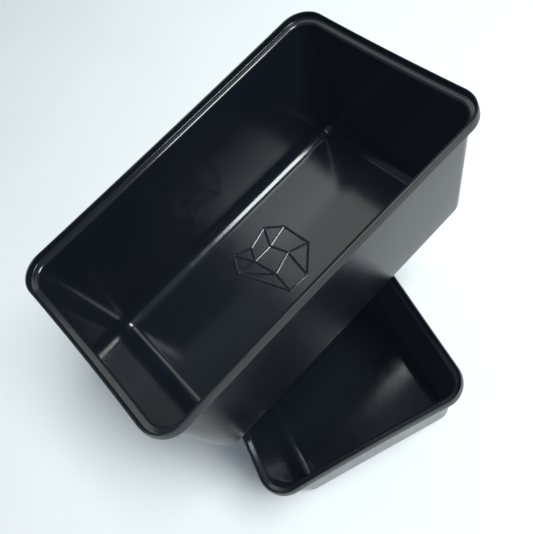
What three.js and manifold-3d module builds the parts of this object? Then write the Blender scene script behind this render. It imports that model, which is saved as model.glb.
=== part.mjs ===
// Two deep rectangular wash tubs, one standing on its base and the other lying crosswise on its rim.
// Millimetres, +Z up. The origin is the middle of the lower tub's underside, and +X runs along the upper tub.
import * as THREE from 'three';
import { mergeVertices, mergeGeometries } from 'three/addons/utils/BufferGeometryUtils.js';
import Module from 'manifold-3d';

const wasm = await Module();
wasm.setup();

// One tub. Both tubs come off the same mould.
const LENGTH = 513; // over the foot of the rim's skirt
const WIDTH = 305; // over the foot of the rim's skirt
const HEIGHT = 213.5; // underside of the base to the top of the rim
const SHEET = 3; // thickness of the plastic
const RIM_CORNER = 37.5; // corner radius at the foot of the skirt
const BASE_CORNER = 21.5; // corner radius of the wall just above the base
const RIM_BOW = 1.4; // how far the middle of each side of the rim is drawn in
const SKIRT_DROP = 11.5; // from the top of the rim down to the foot of its skirt, outside
const SKIRT_FLARE = 2.5; // how far the skirt spreads from the top of the rim to its foot
const LIP_WIDTH = 2; // thickness of the rim at its top
const LIP_DROP = 9; // from the top of the rim down to the ledge, inside
const LEDGE_SLOPE = THREE.MathUtils.degToRad(14); // fall of the ledge towards the wall
const LEDGE_ROUND = 4; // rounding where the ledge turns down into the wall
const WALL_STEP = 9.7; // from the foot of the skirt in to the top of the wall, outside
const DRAFT = 0.025; // inward lean of the walls, per unit of height
const BASE_FILLET = 23.5; // outside radius between wall and base

// How the two tubs lie.
const CROSSING = 72; // degrees from the upper tub's length to the lower tub's
const UPPER_SHIFT = [25.7, 26.6]; // middle of the upper tub from the middle of the lower one
const REST_GAP = 0.3; // between the lower rim and the upper base

// Raised emblem on the floor: a faceted nugget drawn in ridges.
const RIDGE_WIDTH = 2.8;
const RIDGE_HEIGHT = 1.2;
const RIDGE_TOP = 0.4; // width of a ridge's top, as a share of its foot

// How finely curves are cut.
const CORNER_STEPS = 9;
const LONG_STEPS = 6;
const SHORT_STEPS = 4;
const FILLET_STEPS = 5;
const LIP_STEPS = 4;
const LEDGE_STEPS = 3;

const MIN_CORNER = 1; // a corner is never sharper than this

const lean = Math.atan(DRAFT);

// How far the outside of the wall stands in from the foot of the skirt at a height.
function wallInset(z) {
  return WALL_STEP + DRAFT * (HEIGHT - SKIRT_DROP - z);
}

// One level of the tub's surface: a rounded rectangle drawn in by inset from the foot of the skirt.
// At the rim the corners share their centres; down the wall they tighten evenly to BASE_CORNER.
function level(inset, z) {
  const depth = THREE.MathUtils.clamp((HEIGHT - z) / (HEIGHT - BASE_FILLET), 0, 1);
  const outside = THREE.MathUtils.lerp(RIM_CORNER - WALL_STEP, BASE_CORNER, depth);
  const corner = outside - (inset - wallInset(z));
  return { inset, z, corner: Math.max(corner, MIN_CORNER), bow: RIM_BOW * (1 - depth) };
}

// The points of one level, anticlockwise from above, starting at the middle of the +X side.
function outline({ inset, z, corner, bow }) {
  const halfLength = LENGTH / 2 - inset;
  const halfWidth = WIDTH / 2 - inset;
  const points = [];
  const side = (steps, place) => {
    for (let i = 1; i < steps; i++) {
      const along = (2 * i) / steps - 1;
      points.push(place(along, bow * (1 - along * along)));
    }
  };
  const turn = (x, y, start) => {
    for (let i = 0; i <= CORNER_STEPS; i++) {
      const angle = start + (Math.PI / 2) * (i / CORNER_STEPS);
      points.push([x + corner * Math.cos(angle), y + corner * Math.sin(angle)]);
    }
  };
  const straightX = halfLength - corner;
  const straightY = halfWidth - corner;
  side(SHORT_STEPS, (along, drawn) => [halfLength - drawn, along * straightY]);
  turn(straightX, straightY, 0);
  side(LONG_STEPS, (along, drawn) => [-along * straightX, halfWidth - drawn]);
  turn(-straightX, straightY, Math.PI / 2);
  side(SHORT_STEPS, (along, drawn) => [-halfLength + drawn, -along * straightY]);
  turn(-straightX, -straightY, Math.PI);
  side(LONG_STEPS, (along, drawn) => [along * straightX, -halfWidth + drawn]);
  turn(straightX, -straightY, -Math.PI / 2);
  return points.map(([x, y]) => new THREE.Vector3(x, y, z));
}

// Levels round the bend between wall and base, from the wall down, for a skin offset inwards by depth.
function fillet(depth) {
  const radius = BASE_FILLET - depth;
  const centreZ = BASE_FILLET;
  const centreInset = wallInset(centreZ) + BASE_FILLET / Math.cos(lean);
  const levels = [];
  for (let i = 0; i <= FILLET_STEPS; i++) {
    const angle = THREE.MathUtils.lerp(lean, Math.PI / 2, i / FILLET_STEPS);
    levels.push(level(centreInset - radius * Math.cos(angle), centreZ - radius * Math.sin(angle)));
  }
  return levels;
}

// Levels over the rounded top of the rim, from outside to inside.
function lipTop() {
  const round = LIP_WIDTH / 2;
  const levels = [];
  for (let i = 0; i <= LIP_STEPS; i++) {
    const angle = Math.PI * (i / LIP_STEPS);
    levels.push(level(SKIRT_FLARE + round - round * Math.cos(angle), HEIGHT - round + round * Math.sin(angle)));
  }
  return levels;
}

// Levels over the ledge, from the foot of the lip to the top of the wall, inside.
function ledge() {
  const foot = HEIGHT - LIP_DROP;
  const start = SKIRT_FLARE + LIP_WIDTH + LIP_WIDTH / 2;
  const centreInset = WALL_STEP + SHEET - LEDGE_ROUND;
  const bendInset = centreInset + LEDGE_ROUND * Math.sin(LEDGE_SLOPE);
  const bendZ = foot - (bendInset - start) * Math.tan(LEDGE_SLOPE);
  const centreZ = bendZ - LEDGE_ROUND * Math.cos(LEDGE_SLOPE);
  const levels = [level(SKIRT_FLARE + LIP_WIDTH, foot + LIP_WIDTH / 2), level(start, foot)];
  for (let i = 0; i <= LEDGE_STEPS; i++) {
    const angle = THREE.MathUtils.lerp(LEDGE_SLOPE, Math.PI / 2, i / LEDGE_STEPS);
    levels.push(level(centreInset + LEDGE_ROUND * Math.sin(angle), centreZ + LEDGE_ROUND * Math.cos(angle)));
  }
  return levels;
}

// The whole skin of the tub as levels, from the underside, up the outside, over the lip and down the inside.
function skin() {
  const skirtFoot = HEIGHT - SKIRT_DROP;
  const round = LIP_WIDTH / 2;
  return [
    ...fillet(0).reverse(),
    level(WALL_STEP, skirtFoot),
    level(round, skirtFoot),
    level(0, skirtFoot + round),
    ...lipTop(),
    ...ledge(),
    ...fillet(SHEET),
  ];
}

// Joins the levels into a closed surface, with a fan over the underside and one over the floor.
function loft(levels) {
  const rings = levels.map(outline);
  const count = rings[0].length;
  const positions = [];
  const push = (...points) => points.forEach((p) => positions.push(p.x, p.y, p.z));
  for (let k = 0; k + 1 < rings.length; k++) {
    for (let i = 0; i < count; i++) {
      const j = (i + 1) % count;
      push(rings[k][i], rings[k][j], rings[k + 1][j]);
      push(rings[k][i], rings[k + 1][j], rings[k + 1][i]);
    }
  }
  const fan = (ring, up) => {
    const middle = new THREE.Vector3(0, 0, ring[0].z);
    for (let i = 0; i < count; i++) {
      const j = (i + 1) % count;
      if (up) push(middle, ring[i], ring[j]);
      else push(middle, ring[j], ring[i]);
    }
  };
  fan(rings[0], false);
  fan(rings[rings.length - 1], true);
  const geometry = new THREE.BufferGeometry();
  geometry.setAttribute('position', new THREE.Float32BufferAttribute(positions, 3));
  return geometry;
}

// Corner points of the nugget from the middle of the floor, and the ridges from its outline to its crown.
const NUGGET = {
  rim: [[56, 4], [52, 56], [30, 80], [-8, 70], [-36, 84], [-52, 56], [-19, -31], [16, -32]],
  crown: [[24, 18], [14, 48], [-20, 48], [-14, 6]],
  facets: [[0, 0], [1, 1], [2, 1], [3, 2], [4, 2], [5, 2], [5, 3], [6, 3], [7, 0]],
};

function strokes() {
  const loop = (points) => points.map((p, i) => [p, points[(i + 1) % points.length]]);
  const spokes = NUGGET.facets.map(([a, b]) => [NUGGET.rim[a], NUGGET.crown[b]]);
  return [...loop(NUGGET.rim), ...loop(NUGGET.crown), ...spokes];
}

// One ridge of the emblem: a low bar with sloping sides, sunk a little into the floor.
function ridge([a, b]) {
  const from = new THREE.Vector2(...a);
  const to = new THREE.Vector2(...b);
  const foot = RIDGE_WIDTH / 2;
  const section = new THREE.Shape([
    new THREE.Vector2(-foot, -SHEET / 3),
    new THREE.Vector2(foot, -SHEET / 3),
    new THREE.Vector2(foot, 0),
    new THREE.Vector2(foot * RIDGE_TOP, RIDGE_HEIGHT),
    new THREE.Vector2(-foot * RIDGE_TOP, RIDGE_HEIGHT),
    new THREE.Vector2(-foot, 0),
  ]);
  const run = to.clone().sub(from);
  const bar = new THREE.ExtrudeGeometry(section, { depth: run.length() + foot, bevelEnabled: false });
  bar.translate(0, 0, -foot / 2);
  bar.rotateX(Math.PI / 2);
  bar.rotateZ(Math.PI / 2 + run.angle());
  bar.translate(from.x, from.y, SHEET);
  return bar;
}

function solid(geometry) {
  const bare = geometry.index ? geometry.toNonIndexed() : geometry.clone();
  bare.deleteAttribute('normal');
  bare.deleteAttribute('uv');
  const merged = mergeVertices(bare, 1e-4);
  return new wasm.Manifold(new wasm.Mesh({
    numProp: 3,
    vertProperties: new Float32Array(merged.attributes.position.array),
    triVerts: new Uint32Array(merged.index.array),
  }));
}

function geometryOf(manifold) {
  const mesh = manifold.getMesh();
  const geometry = new THREE.BufferGeometry();
  geometry.setAttribute('position', new THREE.BufferAttribute(new Float32Array(mesh.vertProperties), 3));
  geometry.setIndex(new THREE.BufferAttribute(new Uint32Array(mesh.triVerts), 1));
  geometry.computeVertexNormals();
  return geometry;
}

function tubGeometry() {
  let tub = solid(loft(skin()));
  for (const stroke of strokes()) tub = tub.add(solid(ridge(stroke)));
  return geometryOf(tub);
}

const plastic = new THREE.MeshStandardMaterial({ color: 0x15171a, roughness: 0.35, metalness: 0 });
const shape = tubGeometry();

const lowerTub = new THREE.Mesh(shape, plastic);
lowerTub.name = 'lower_tub';
lowerTub.rotation.z = THREE.MathUtils.degToRad(CROSSING);

const upperTub = new THREE.Mesh(shape, plastic);
upperTub.name = 'upper_tub';
upperTub.position.set(...UPPER_SHIFT, HEIGHT + REST_GAP);

const set = new THREE.Group();
set.add(lowerTub, upperTub);

export default set;
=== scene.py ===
"""Two black thermoformed wash tubs, one lying crosswise on the rim of the other.

Each tub is rebuilt here as one fine skin: glossy floor and walls inside, a stepped rim with rounded edges,
and a haircell grain outside. Lengths are in metres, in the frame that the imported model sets.
"""
import math

import bmesh
import bpy
from mathutils import Matrix, Vector


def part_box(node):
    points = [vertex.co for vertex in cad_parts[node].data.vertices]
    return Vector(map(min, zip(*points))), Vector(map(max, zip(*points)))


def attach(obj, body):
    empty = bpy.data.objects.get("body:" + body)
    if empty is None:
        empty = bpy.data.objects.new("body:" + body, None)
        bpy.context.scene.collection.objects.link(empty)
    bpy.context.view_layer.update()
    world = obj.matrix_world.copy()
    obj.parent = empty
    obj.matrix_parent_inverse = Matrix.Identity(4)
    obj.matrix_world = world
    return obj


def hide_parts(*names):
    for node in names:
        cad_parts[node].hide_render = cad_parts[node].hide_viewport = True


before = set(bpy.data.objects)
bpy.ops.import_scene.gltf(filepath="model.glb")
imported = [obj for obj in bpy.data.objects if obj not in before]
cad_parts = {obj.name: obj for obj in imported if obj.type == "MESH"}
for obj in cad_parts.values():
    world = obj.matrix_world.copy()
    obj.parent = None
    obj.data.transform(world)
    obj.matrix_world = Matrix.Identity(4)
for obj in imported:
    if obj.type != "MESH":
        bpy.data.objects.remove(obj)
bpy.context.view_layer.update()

MM = 0.001

# ---------------------------------------------------------------- the tub's dimensions, as in the frame
tub_low, tub_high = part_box("upper_tub")
LENGTH, WIDTH, HEIGHT = tub_high - tub_low
SHEET = 3 * MM  # thickness of the plastic
RIM_CORNER = 37.5 * MM  # corner radius at the foot of the skirt
BASE_CORNER = 21.5 * MM  # corner radius of the wall just above the base
RIM_BOW = 1.4 * MM  # how far the middle of each side of the rim is drawn in
SKIRT_DROP = 11.5 * MM  # top of the rim down to the foot of its skirt, outside
SKIRT_FLARE = 2.5 * MM  # how far the skirt spreads from the top of the rim to its foot
LIP_WIDTH = 2 * MM  # thickness of the rim at its top
LIP_DROP = 9 * MM  # top of the rim down to the ledge, inside
LEDGE_SLOPE = 14  # degrees, fall of the ledge towards the wall
LEDGE_ROUND = 4 * MM  # rounding where the ledge turns down into the wall
WALL_STEP = 9.7 * MM  # foot of the skirt in to the top of the wall, outside
DRAFT = 0.025  # inward lean of the walls, per unit of height
BASE_FILLET = 23.5 * MM  # outside radius between wall and base
CROSSING = 72  # degrees from the upper tub's length to the lower tub's
MIN_CORNER = 1 * MM

# Small roundings that only show close up.
STEP_ROUND = 1 * MM  # inside corner between lip and ledge, and between skirt and wall
EDGE_ROUND = 0.9 * MM  # foot of the skirt
FLOOR_MARGIN = 1.5 * MM  # flat ring kept at the foot of the fillet, so that the floor shades flat

# How finely the skin is cut.
CORNER_STEPS = 20
LONG_STEPS = 40
SHORT_STEPS = 24
WALL_STEPS = 10
FILLET_STEPS = 14
ROUND_STEPS = 5
RIM_STEPS = 8

# Raised emblem: corner points of a faceted nugget in millimetres from the middle of the floor.
NUGGET_RIM = [(56, 4), (52, 56), (30, 80), (-8, 70), (-36, 84), (-52, 56), (-19, -31), (16, -32)]
NUGGET_CROWN = [(24, 18), (14, 48), (-20, 48), (-14, 6)]
NUGGET_FACETS = [(0, 0), (1, 1), (2, 1), (3, 2), (4, 2), (5, 2), (5, 3), (6, 3), (7, 0)]
RIDGE_HALF_WIDTH = 1.4 * MM
RIDGE_HEIGHT = 1.2 * MM
PATCH_CELL = 2.8 * MM  # grid of the floor round the emblem
PATCH_CUTS = 3  # cuts in each cell's sides along a ridge
PATCH_MARGIN = 6 * MM  # plain floor kept round the emblem
PATCH_REACH = 0.75  # cells past a ridge's foot that are still cut finely

LEAN = math.atan(DRAFT)

# The places of the three materials on a tub's mesh.
GLOSS, GRAIN, EDGE = range(3)


# ---------------------------------------------------------------- outline and section of a tub
def wall_inset(z):
    """How far the outside of the wall stands in from the foot of the skirt at a height."""
    return WALL_STEP + DRAFT * (HEIGHT - SKIRT_DROP - z)


def outline(inset, z):
    """The points of one level of the skin, anticlockwise from above."""
    depth = min(max((HEIGHT - z) / (HEIGHT - BASE_FILLET), 0), 1)
    outside = RIM_CORNER - WALL_STEP + (BASE_CORNER - RIM_CORNER + WALL_STEP) * depth
    corner = max(outside - (inset - wall_inset(z)), MIN_CORNER)
    bow = RIM_BOW * (1 - depth)
    half_x, half_y = LENGTH / 2 - inset, WIDTH / 2 - inset
    flat_x, flat_y = half_x - corner, half_y - corner
    points = []

    def side(steps, place):
        for i in range(1, steps):
            along = 2 * i / steps - 1
            points.append(place(along, bow * (1 - along * along)))

    def turn(x, y, start):
        for i in range(CORNER_STEPS + 1):
            angle = start + math.pi / 2 * i / CORNER_STEPS
            points.append((x + corner * math.cos(angle), y + corner * math.sin(angle)))

    side(SHORT_STEPS, lambda along, drawn: (half_x - drawn, along * flat_y))
    turn(flat_x, flat_y, 0)
    side(LONG_STEPS, lambda along, drawn: (-along * flat_x, half_y - drawn))
    turn(-flat_x, flat_y, math.pi / 2)
    side(SHORT_STEPS, lambda along, drawn: (-half_x + drawn, -along * flat_y))
    turn(-flat_x, -flat_y, math.pi)
    side(LONG_STEPS, lambda along, drawn: (along * flat_x, -half_y + drawn))
    turn(flat_x, -flat_y, -math.pi / 2)
    return [Vector((x, y, z)) for x, y in points]


def arc(centre, radius, start, end, steps):
    """Section points (inset, z) round part of a circle; angle 0 points outwards and 90 degrees up."""
    points = []
    for i in range(steps + 1):
        angle = math.radians(start + (end - start) * i / steps)
        points.append((centre[0] - radius * math.cos(angle), centre[1] + radius * math.sin(angle)))
    return points


def fillet(depth):
    """Section round the bend from wall to base, downwards, for a skin at a depth inside the outer one."""
    centre = (wall_inset(BASE_FILLET) + BASE_FILLET / math.cos(LEAN), BASE_FILLET)
    return arc(centre, BASE_FILLET - depth, -math.degrees(LEAN), -90, FILLET_STEPS)


def between(a, b, steps):
    """Section points strictly between two others."""
    return [tuple(a[k] + (b[k] - a[k]) * i / steps for k in (0, 1)) for i in range(1, steps)]


def section():
    """The tub's section, from underside to floor: (inset, z, material of the band that ends there)."""
    skirt_foot = HEIGHT - SKIRT_DROP
    ledge_top = HEIGHT - LIP_DROP
    half = LIP_WIDTH / 2
    lip_inside = SKIRT_FLARE + LIP_WIDTH
    spread = math.degrees(math.atan(SKIRT_FLARE / SKIRT_DROP))
    base_bend = fillet(0)[::-1]
    under_step = arc((WALL_STEP - STEP_ROUND, skirt_foot - STEP_ROUND), STEP_ROUND, 180, 90, ROUND_STEPS)
    skirt_edge = arc((EDGE_ROUND, skirt_foot + EDGE_ROUND), EDGE_ROUND, -90, spread, ROUND_STEPS)
    top = arc((SKIRT_FLARE + half, HEIGHT - half), half, spread, 180, RIM_STEPS)
    step_centre = (lip_inside + STEP_ROUND, ledge_top + STEP_ROUND)
    inner_step = arc(step_centre, STEP_ROUND, 0, LEDGE_SLOPE - 90, ROUND_STEPS)
    bend_inset = WALL_STEP + SHEET - LEDGE_ROUND
    slope = math.radians(LEDGE_SLOPE)
    run = bend_inset + LEDGE_ROUND * math.sin(slope) - lip_inside - STEP_ROUND
    bend_z = ledge_top - run * math.tan(slope) - LEDGE_ROUND * math.cos(slope)
    ledge_bend = arc((bend_inset, bend_z), LEDGE_ROUND, 90 + LEDGE_SLOPE, 180, FILLET_STEPS)
    floor_bend = fillet(SHEET)
    bands = [
        (GRAIN, base_bend),
        (GRAIN, between(base_bend[-1], under_step[0], WALL_STEPS)),
        (GRAIN, under_step + skirt_edge),
        (EDGE, top),
        (GLOSS, inner_step + ledge_bend),
        (GLOSS, between(ledge_bend[-1], floor_bend[0], WALL_STEPS)),
        (GLOSS, floor_bend),
    ]
    return [(inset, z, material) for material, points in bands for inset, z in points]


# ---------------------------------------------------------------- the raised emblem
def strokes():
    """The emblem's ridges as pairs of ends, in metres from the middle of the floor."""
    lines = []
    for loop in (NUGGET_RIM, NUGGET_CROWN):
        lines += [(loop[i], loop[(i + 1) % len(loop)]) for i in range(len(loop))]
    lines += [(NUGGET_RIM[a], NUGGET_CROWN[b]) for a, b in NUGGET_FACETS]
    return [(Vector(a) * MM, Vector(b) * MM) for a, b in lines]


STROKES = strokes()


def ridge_distance(x, y):
    """Distance from a point of the floor to the nearest ridge's middle line."""
    point = Vector((x, y))
    nearest = math.inf
    for a, b in STROKES:
        run = b - a
        share = min(max((point - a).dot(run) / run.length_squared, 0), 1)
        nearest = min(nearest, (point - a - run * share).length)
    return nearest


def ridge_rise(distance):
    """Height of the floor at a distance from a ridge's middle line: a round-topped ridge with a soft foot."""
    share = min(distance / RIDGE_HALF_WIDTH, 1)
    return RIDGE_HEIGHT * (1 - share * share) ** 2


def emblem_patch(z, up):
    """A rectangle of floor or underside, as a mesh of its own, with the emblem raised in it."""
    bm = bmesh.new()
    xs = [x * MM for x, _ in NUGGET_RIM]
    ys = [y * MM for _, y in NUGGET_RIM]
    low = Vector((min(xs) - PATCH_MARGIN, min(ys) - PATCH_MARGIN))
    high = Vector((max(xs) + PATCH_MARGIN, max(ys) + PATCH_MARGIN))
    count_x = round((high.x - low.x) / PATCH_CELL)
    count_y = round((high.y - low.y) / PATCH_CELL)
    rows = []
    for j in range(count_y + 1):
        y = low.y + (high.y - low.y) * j / count_y
        rows.append([
            bm.verts.new((low.x + (high.x - low.x) * i / count_x, y, z)) for i in range(count_x + 1)
        ])
    for j in range(count_y):
        for i in range(count_x):
            corners = [rows[j][i], rows[j][i + 1], rows[j + 1][i + 1], rows[j + 1][i]]
            bm.faces.new(corners if up else corners[::-1])
    near = RIDGE_HALF_WIDTH + PATCH_CELL * PATCH_REACH
    chosen = []
    for edge in bm.edges:
        middle = (edge.verts[0].co + edge.verts[1].co) / 2
        if not edge.is_boundary and ridge_distance(middle.x, middle.y) < near:
            chosen.append(edge)
    bmesh.ops.subdivide_edges(bm, edges=chosen, cuts=PATCH_CUTS, use_grid_fill=True)
    for v in bm.verts:
        v.co.z += ridge_rise(ridge_distance(v.co.x, v.co.y))
    patch = bpy.data.meshes.new("emblem_patch")
    bm.to_mesh(patch)
    bm.free()
    return patch


# ---------------------------------------------------------------- the skin of a tub
def tub_mesh(name):
    """One tub standing on the plane z = 0 with its middle at the origin."""
    bm = bmesh.new()
    levels = section()
    rings = [[bm.verts.new(p) for p in outline(inset, z)] for inset, z, _ in levels]
    count = len(rings[0])

    def band(lower, upper, material):
        for i in range(count):
            j = (i + 1) % count
            face = bm.faces.new((lower[i], lower[j], upper[j], upper[i]))
            face.material_index = material
            face.smooth = True

    for k in range(len(rings) - 1):
        band(rings[k], rings[k + 1], levels[k + 1][2])

    def close(ring, level, material, up):
        inset, z, _ = level
        inner = [bm.verts.new(p) for p in outline(inset + FLOOR_MARGIN, z)]
        if up:
            band(ring, inner, material)
        else:
            band(inner, ring, material)
        patch = emblem_patch(z, up)
        known = len(bm.verts)
        bm.from_mesh(patch)
        bpy.data.meshes.remove(patch)
        bm.verts.ensure_lookup_table()
        added = bm.verts[known:]
        edges = [bm.edges.get((inner[i], inner[(i + 1) % count])) for i in range(count)]
        edges += [edge for edge in {e for v in added for e in v.link_edges} if edge.is_boundary]
        normal = (0, 0, 1 if up else -1)
        filled = bmesh.ops.triangle_fill(
            bm, use_beauty=True, use_dissolve=False, edges=edges, normal=normal
        )
        faces = [item for item in filled["geom"] if isinstance(item, bmesh.types.BMFace)]
        faces += {face for v in added for face in v.link_faces}
        for face in faces:
            face.material_index = material
            face.smooth = True

    close(rings[-1], levels[-1], GLOSS, True)
    close(rings[0], levels[0], GRAIN, False)
    mesh = bpy.data.meshes.new(name)
    bm.normal_update()
    bm.to_mesh(mesh)
    bm.free()
    return mesh


# ---------------------------------------------------------------- materials
class Nodes:
    """Short calls for building a node material."""

    def __init__(self, name):
        self.material = bpy.data.materials.new(name)
        self.material.use_nodes = True
        self.tree = self.material.node_tree
        self.shader = self.tree.nodes["Principled BSDF"]

    def add(self, kind, inputs=(), **settings):
        """A node; an input is either another node's output or a plain value."""
        node = self.tree.nodes.new(kind)
        for key, value in settings.items():
            setattr(node, key, value)
        for key, value in dict(inputs).items():
            if isinstance(value, bpy.types.NodeSocket):
                self.tree.links.new(value, node.inputs[key])
            else:
                node.inputs[key].default_value = value
        return node

    def noise(self, place, scale, detail=4.0, roughness=0.5):
        inputs = {"Vector": place, "Scale": scale, "Detail": detail, "Roughness": roughness}
        return self.add("ShaderNodeTexNoise", inputs).outputs["Fac"]

    def spread(self, value, low, high, to_low, to_high):
        """Maps one range of a value on another."""
        inputs = {"Value": value, "From Min": low, "From Max": high, "To Min": to_low, "To Max": to_high}
        return self.add("ShaderNodeMapRange", inputs).outputs["Result"]

    def mix(self, share, a, b):
        node = self.add("ShaderNodeMix", data_type="RGBA")
        for key, value in (("Factor", share), ("A", a), ("B", b)):
            socket = [s for s in node.inputs if s.name == key and s.enabled][0]
            if isinstance(value, bpy.types.NodeSocket):
                self.tree.links.new(value, socket)
            else:
                socket.default_value = value
        return [s for s in node.outputs if s.enabled][0]

    def bump(self, height, strength, distance, normal=None):
        inputs = {"Height": height, "Strength": strength, "Distance": distance}
        if normal is not None:
            inputs["Normal"] = normal
        return self.add("ShaderNodeBump", inputs).outputs["Normal"]

    def finish(self, **sockets):
        """Sets the shader's sockets, with _ for a space in their names, and hands back the material."""
        for key, value in sockets.items():
            socket = self.shader.inputs[key.replace("_", " ")]
            if isinstance(value, bpy.types.NodeSocket):
                self.tree.links.new(value, socket)
            else:
                socket.default_value = value
        return self.material


# A trace of cold glow lifts the deepest shade off pure black, as haze does; the plastic itself doesn't shine.
SHADE_LIFT = (0.48, 0.62, 1.0, 1)
SHADE_LIFT_STRENGTH = 0.0055

# Scales of the patterns, in features per metre.
CLOUD_SCALE = 9.0  # drifts of paler black inside
HAZE_SCALE = 60.0  # handling marks
WAVE_SCALE = 14.0  # waviness of the formed sheet
PEEL_SCALE = 420.0  # fine unevenness of the gloss
OUTER_CLOUD_SCALE = 11.0
GRAIN_SCALE = 620.0  # pebbles of the haircell grain
GRAIN_WARP_SCALE = 320.0
GRAIN_WARP = 0.0012  # share by which the pebbles are bent out of round
FINE_SCALE = 2600.0  # tooth on the pebbles
MARK_SCALE = 180.0  # cutter marks on the trimmed edge
FLOOR_CLOUD_SCALE = 3.0


def gloss_plastic():
    """Inside: deep black, glossy, with a faint waviness and a haze of handling marks."""
    n = Nodes("gloss_black_plastic")
    place = n.add("ShaderNodeTexCoord").outputs["Object"]
    cloud = n.spread(n.noise(place, CLOUD_SCALE, 3.0), 0.35, 0.7, 0.0, 1.0)
    haze = n.noise(place, HAZE_SCALE, 6.0, 0.65)
    colour = n.mix(cloud, (0.0046, 0.0058, 0.0088, 1), (0.0064, 0.0078, 0.0112, 1))
    roughness = n.spread(haze, 0.35, 0.75, 0.13, 0.2)
    wave = n.bump(n.noise(place, WAVE_SCALE, 1.0), 0.06, 4 * MM)
    peel = n.bump(n.noise(place, PEEL_SCALE, 2.0), 0.035, 0.3 * MM, wave)
    return n.finish(
        Base_Color=colour, Roughness=roughness, IOR=1.5, Normal=peel,
        Emission_Color=SHADE_LIFT, Emission_Strength=SHADE_LIFT_STRENGTH,
    )


def grain_plastic():
    """Outside: the same black with a pebbled haircell grain about a millimetre and a half across."""
    n = Nodes("haircell_black_plastic")
    place = n.add("ShaderNodeTexCoord").outputs["Object"]
    warp_inputs = {"Vector": place, "Scale": GRAIN_WARP_SCALE, "Detail": 2.0}
    warp = n.add("ShaderNodeTexNoise", warp_inputs).outputs["Color"]
    bent = n.add("ShaderNodeMix", data_type="VECTOR")
    bent.inputs["Factor"].default_value = GRAIN_WARP
    n.tree.links.new(place, bent.inputs["A"])
    n.tree.links.new(warp, bent.inputs["B"])
    cells = n.add(
        "ShaderNodeTexVoronoi",
        {"Vector": bent.outputs["Result"], "Scale": GRAIN_SCALE, "Randomness": 1.0},
        feature="SMOOTH_F1",
    )
    pebbles = n.spread(cells.outputs["Distance"], 0.1, 0.75, 1.0, 0.0)
    fine = n.noise(place, FINE_SCALE, 3.0)
    cloud = n.noise(place, OUTER_CLOUD_SCALE, 4.0)
    paler = n.spread(cloud, 0.35, 0.7, 0.0, 1.0)
    colour = n.mix(paler, (0.0044, 0.0055, 0.0080, 1), (0.0066, 0.0078, 0.0104, 1))
    roughness = n.spread(cloud, 0.3, 0.7, 0.2, 0.27)
    grain = n.bump(pebbles, 0.5, 0.4 * MM)
    grain = n.bump(fine, 0.12, 0.1 * MM, grain)
    return n.finish(
        Base_Color=colour, Roughness=roughness, IOR=1.43, Normal=grain,
        Emission_Color=SHADE_LIFT, Emission_Strength=SHADE_LIFT_STRENGTH,
    )


def edge_plastic():
    """The trimmed top edge of the rim: cut plastic, a little paler and duller."""
    n = Nodes("trimmed_edge_plastic")
    place = n.add("ShaderNodeTexCoord").outputs["Object"]
    marks = n.noise(place, MARK_SCALE, 5.0, 0.6)
    paler = n.spread(marks, 0.4, 0.7, 0.0, 1.0)
    colour = n.mix(paler, (0.009, 0.0095, 0.0105, 1), (0.016, 0.0165, 0.0175, 1))
    roughness = n.spread(marks, 0.3, 0.7, 0.33, 0.48)
    scored = n.bump(marks, 0.15, 0.3 * MM)
    return n.finish(Base_Color=colour, Roughness=roughness, IOR=1.5, Normal=scored)


def stage_material():
    """The floor under the tubs: pale and dull, with a barely visible drift of tone."""
    n = Nodes("pale_floor")
    place = n.add("ShaderNodeTexCoord").outputs["Object"]
    cloud = n.spread(n.noise(place, FLOOR_CLOUD_SCALE, 3.0), 0.3, 0.7, 0.0, 1.0)
    colour = n.mix(cloud, (0.86, 0.86, 0.87, 1), (0.89, 0.89, 0.89, 1))
    return n.finish(Base_Color=colour, Roughness=0.9)


# ---------------------------------------------------------------- the two tubs
def add_tubs():
    """Both tubs in their places, each on its own body of the frame."""
    materials = [gloss_plastic(), grain_plastic(), edge_plastic()]  # in the order GLOSS, GRAIN, EDGE
    middle = (tub_low + tub_high) / 2
    lower_place = Matrix.Rotation(math.radians(CROSSING), 4, "Z")
    upper_place = Matrix.Translation((middle.x, middle.y, tub_low.z))
    for node, place in (("lower_tub", lower_place), ("upper_tub", upper_place)):
        mesh = tub_mesh(node + "_skin")
        mesh.transform(place)
        for material in materials:
            mesh.materials.append(material)
        piece = bpy.data.objects.new(node + "_skin", mesh)
        bpy.context.scene.collection.objects.link(piece)
        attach(piece, node)
        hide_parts(node)


# ---------------------------------------------------------------- stage, light and camera
FLOOR_SIZE = 12.0
FLOOR_GAP = 0.5 * MM  # between the floor and the lower tub's base
SKY_COLOUR = (0.72, 0.86, 1.0, 1)
SKY_STRENGTH = 0.3


def add_stage():
    """The floor, and a dim cold light from all round."""
    bpy.ops.mesh.primitive_plane_add(size=FLOOR_SIZE, location=(0, 0, -FLOOR_GAP))
    floor = bpy.context.object
    floor.name = "stage_floor"
    floor.data.materials.append(stage_material())
    world = bpy.data.worlds.new("studio")
    world.use_nodes = True
    background = world.node_tree.nodes["Background"]
    background.inputs["Color"].default_value = SKY_COLOUR
    background.inputs["Strength"].default_value = SKY_STRENGTH
    bpy.context.scene.world = world


LIGHT_DISTANCE = 3.2  # from the middle of the upper tub


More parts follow.
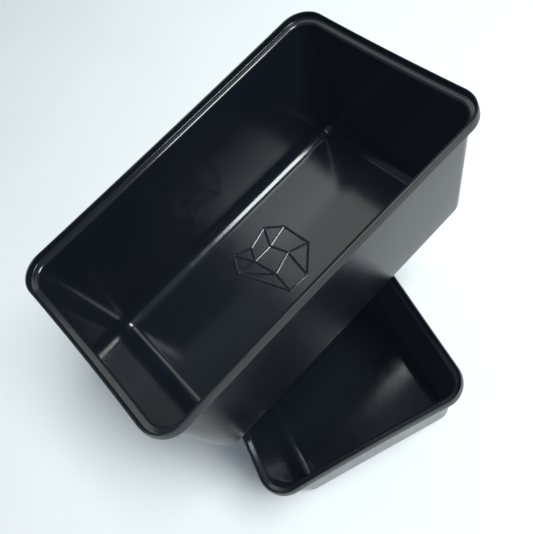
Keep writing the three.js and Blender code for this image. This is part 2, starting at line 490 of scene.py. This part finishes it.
def soft_light(name, direction, size, power, colour):
    """A rectangular soft box facing the upper tub from a direction, its first side along the tub."""
    data = bpy.data.lights.new(name, "AREA")
    data.shape = "RECTANGLE"
    data.size, data.size_y = size
    data.energy = power
    data.color = colour
    light = bpy.data.objects.new(name, data)
    away = Vector(direction).normalized()
    across = away.cross(Vector((1, 0, 0))).normalized()
    along = across.cross(away)
    light.location = (tub_low + tub_high) / 2 + away * LIGHT_DISTANCE
    light.rotation_mode = "QUATERNION"
    light.rotation_quaternion = Matrix((along, across, away)).transposed().to_quaternion()
    bpy.context.scene.collection.objects.link(light)


def add_lights():
    """A strong box that lights the fillets and the floor, and a dim warm panel that shows in the gloss."""
    soft_light("key_box", (0.295, -0.41, 0.86), size=(1.1, 1.65), power=132, colour=(0.93, 1.0, 0.99))
    soft_light("back_panel", (0.31, 0.47, 0.83), size=(1.25, 1.4), power=8.4, colour=(0.98, 1.0, 0.88))


CAMERA_PLACE = (-0.0877, -0.3387, 0.9042)
CAMERA_AIM = (-0.0025, -0.0186, 0.2138)
CAMERA_ROLL = -32.56  # degrees
SENSOR_WIDTH = 36  # millimetres
LENS = 34.77  # millimetres
SHIFT = (-0.0499, 0.0647)
CLIP = (0.02, 50)


def add_camera():
    """Looks down into the upper tub from its near side, with the head tilted."""
    data = bpy.data.cameras.new("camera")
    data.sensor_width = SENSOR_WIDTH
    data.lens = LENS
    data.shift_x, data.shift_y = SHIFT
    data.clip_start, data.clip_end = CLIP
    camera = bpy.data.objects.new("camera", data)
    camera.location = CAMERA_PLACE
    look = Vector(CAMERA_AIM) - Vector(CAMERA_PLACE)
    camera.rotation_mode = "QUATERNION"
    roll = Matrix.Rotation(math.radians(CAMERA_ROLL), 3, "Z").to_quaternion()
    camera.rotation_quaternion = look.to_track_quat("-Z", "Y") @ roll
    bpy.context.scene.collection.objects.link(camera)
    bpy.context.scene.camera = camera


bpy.context.scene.view_settings.view_transform = "Standard"
add_tubs()
add_stage()
add_lights()
add_camera()
